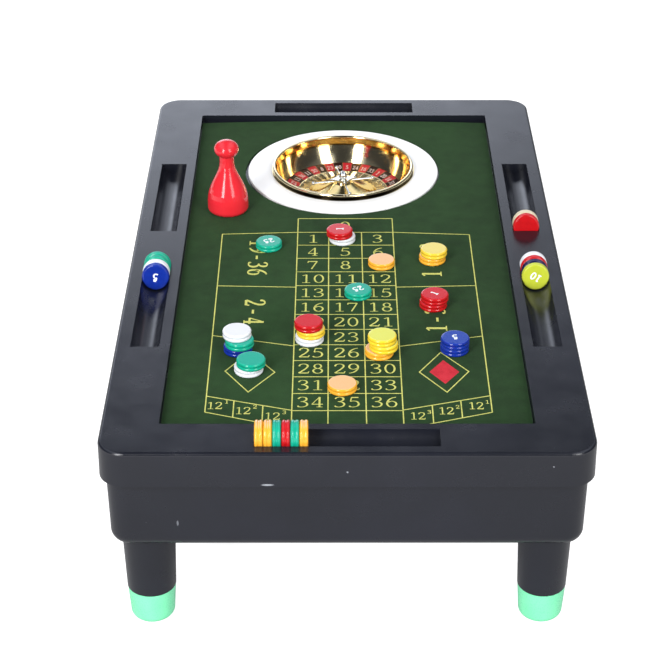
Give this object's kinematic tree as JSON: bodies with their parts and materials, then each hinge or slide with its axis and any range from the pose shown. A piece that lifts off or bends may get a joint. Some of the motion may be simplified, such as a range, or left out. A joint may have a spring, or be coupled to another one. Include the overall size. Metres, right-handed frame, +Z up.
{
  "type": "roulette set case",
  "caption": "Table-top roulette case: black tub on capped legs under a lift-off tray with chip troughs, green mat, drop-in spinning wheel, pawn and loose chips.",
  "frame": {"origin": "on the floor under the middle of the table, between the four foot caps", "axes": "+Z up, +Y along the table's length towards the wheel's end, +X to the right seen from the players' end"},
  "size_m": [0.3204, 0.5584, 0.203],
  "materials": {
    "black_plastic": "satin moulded black plastic",
    "green_felt": "short flocked green felt with a printed layout",
    "mint_cap": "soft mint-green plastic, satin",
    "white_plastic": "glossy white",
    "gold_metal": "polished, gold plated",
    "brass": "turned",
    "number_plastic": "printed red and black numbers",
    "silver_trim": "polished",
    "gold_plated_plastic": "gold plated, polished",
    "steel": "ground",
    "ivory_plastic": "polished",
    "pawn_red": "glossy moulded",
    "chip_teal": "glossy moulded",
    "chip_white": "glossy moulded",
    "chip_red": "glossy moulded",
    "chip_orange": "glossy moulded",
    "chip_yellow": "glossy moulded",
    "chip_lime": "glossy moulded",
    "chip_blue": "glossy moulded",
    "chip_navy": "glossy moulded",
    "chip_beige": "glossy moulded"
  },
  "bodies": {
    "base": {"base_tub": "black_plastic"},
    "lid": {"top_tray": "black_plastic", "playing_mat": "green_felt"},
    "leg_front_left": {"leg_front_left": "black_plastic", "foot_cap_front_left": "mint_cap"},
    "leg_front_right": {"leg_front_right": "black_plastic", "foot_cap_front_right": "mint_cap"},
    "leg_back_left": {"leg_back_left": "black_plastic", "foot_cap_back_left": "mint_cap"},
    "leg_back_right": {"leg_back_right": "black_plastic", "foot_cap_back_right": "mint_cap"},
    "wheel": {"trim_ring": "white_plastic", "wheel_bowl": "gold_metal", "spindle_bush": "brass"},
    "rotor": {"number_ring": "number_plastic", "pocket_frets": "silver_trim", "rotor_cone": "gold_plated_plastic", "wheel_spindle": "steel", "retaining_clip": "steel", "turret_hub": "silver_trim", "turret_arms": "silver_trim", "turret_finial": "silver_trim"},
    "ball": {"roulette_ball": "ivory_plastic"},
    "pawn": {"marker_pawn": "pawn_red"},
    "stack_01": {"stack_01_teal": "chip_teal"},
    "stack_02": {"stack_02_white": "chip_white", "stack_02_red": "chip_red"},
    "stack_03": {"stack_03_orange": "chip_orange"},
    "stack_04": {"stack_04_orange": "chip_orange", "stack_04_yellow": "chip_yellow"},
    "stack_05": {"stack_05_teal": "chip_teal"},
    "stack_06": {"stack_06_red": "chip_red"},
    "stack_07": {"stack_07_white": "chip_white", "stack_07_yellow": "chip_yellow", "stack_07_red": "chip_red"},
    "stack_08": {"stack_08_blue": "chip_blue", "stack_08_teal": "chip_teal", "stack_08_white": "chip_white"},
    "stack_09": {"stack_09_white": "chip_white", "stack_09_teal": "chip_teal"},
    "stack_10": {"stack_10_orange": "chip_orange", "stack_10_lime": "chip_lime"},
    "stack_11": {"stack_11_blue": "chip_blue"},
    "stack_12": {"stack_12_orange": "chip_orange"},
    "rack_front": {"rack_front_orange": "chip_orange", "rack_front_teal": "chip_teal", "rack_front_red": "chip_red"},
    "rack_left": {"rack_left_teal": "chip_teal", "rack_left_white": "chip_white", "rack_left_blue": "chip_blue"},
    "rack_back_right": {"rack_back_right_red": "chip_red", "rack_back_right_beige": "chip_beige"},
    "rack_right": {"rack_right_white": "chip_white", "rack_right_red": "chip_red", "rack_right_navy": "chip_navy", "rack_right_lime": "chip_lime"}
  },
  "joints": [
    {"name": "lid_lift", "type": "slide", "parent": "base", "child": "lid", "axis": [0, 0, 1], "range_m": [0, 0.08]},
    {"name": "leg_front_left_pull", "type": "slide", "parent": "base", "child": "leg_front_left", "axis": [0, 0, -1], "range_m": [0, 0.02]},
    {"name": "leg_front_right_pull", "type": "slide", "parent": "base", "child": "leg_front_right", "axis": [0, 0, -1], "range_m": [0, 0.02]},
    {"name": "leg_back_left_pull", "type": "slide", "parent": "base", "child": "leg_back_left", "axis": [0, 0, -1], "range_m": [0, 0.02]},
    {"name": "leg_back_right_pull", "type": "slide", "parent": "base", "child": "leg_back_right", "axis": [0, 0, -1], "range_m": [0, 0.02]},
    {"name": "wheel_lift", "type": "slide", "parent": "lid", "child": "wheel", "axis": [0, 0, 1], "range_m": [0, 0.05]},
    {"name": "rotor_spin", "type": "hinge", "parent": "wheel", "child": "rotor", "pos_m": [-0.001, 0.1445, 0.13], "axis": [0, 0, 1], "continuous": true},
    {"name": "ball_lift", "type": "slide", "parent": "rotor", "child": "ball", "axis": [0, 0, 1], "range_m": [0, 0.04]},
    {"name": "pawn_lift", "type": "slide", "parent": "lid", "child": "pawn", "axis": [0, 0, 1], "range_m": [0, 0.05]},
    {"name": "stack_01_lift", "type": "slide", "parent": "lid", "child": "stack_01", "axis": [0, 0, 1], "range_m": [0, 0.03]},
    {"name": "stack_02_lift", "type": "slide", "parent": "lid", "child": "stack_02", "axis": [0, 0, 1], "range_m": [0, 0.03]},
    {"name": "stack_03_lift", "type": "slide", "parent": "lid", "child": "stack_03", "axis": [0, 0, 1], "range_m": [0, 0.03]},
    {"name": "stack_04_lift", "type": "slide", "parent": "lid", "child": "stack_04", "axis": [0, 0, 1], "range_m": [0, 0.03]},
    {"name": "stack_05_lift", "type": "slide", "parent": "lid", "child": "stack_05", "axis": [0, 0, 1], "range_m": [0, 0.03]},
    {"name": "stack_06_lift", "type": "slide", "parent": "lid", "child": "stack_06", "axis": [0, 0, 1], "range_m": [0, 0.03]},
    {"name": "stack_07_lift", "type": "slide", "parent": "lid", "child": "stack_07", "axis": [0, 0, 1], "range_m": [0, 0.03]},
    {"name": "stack_08_lift", "type": "slide", "parent": "lid", "child": "stack_08", "axis": [0, 0, 1], "range_m": [0, 0.03]},
    {"name": "stack_09_lift", "type": "slide", "parent": "lid", "child": "stack_09", "axis": [0, 0, 1], "range_m": [0, 0.03]},
    {"name": "stack_10_lift", "type": "slide", "parent": "lid", "child": "stack_10", "axis": [0, 0, 1], "range_m": [0, 0.03]},
    {"name": "stack_11_lift", "type": "slide", "parent": "lid", "child": "stack_11", "axis": [0, 0, 1], "range_m": [0, 0.03]},
    {"name": "stack_12_lift", "type": "slide", "parent": "lid", "child": "stack_12", "axis": [0, 0, 1], "range_m": [0, 0.03]},
    {"name": "rack_front_slide", "type": "slide", "parent": "lid", "child": "rack_front", "axis": [1, 0, 0], "range_m": [0, 0.083]},
    {"name": "rack_left_slide", "type": "slide", "parent": "lid", "child": "rack_left", "axis": [0, -1, 0], "range_m": [0, 0.093]},
    {"name": "rack_back_right_slide", "type": "slide", "parent": "lid", "child": "rack_back_right", "axis": [0, 1, 0], "range_m": [0, 0.104]},
    {"name": "rack_right_slide", "type": "slide", "parent": "lid", "child": "rack_right", "axis": [0, -1, 0], "range_m": [0, 0.093]}
  ]
}
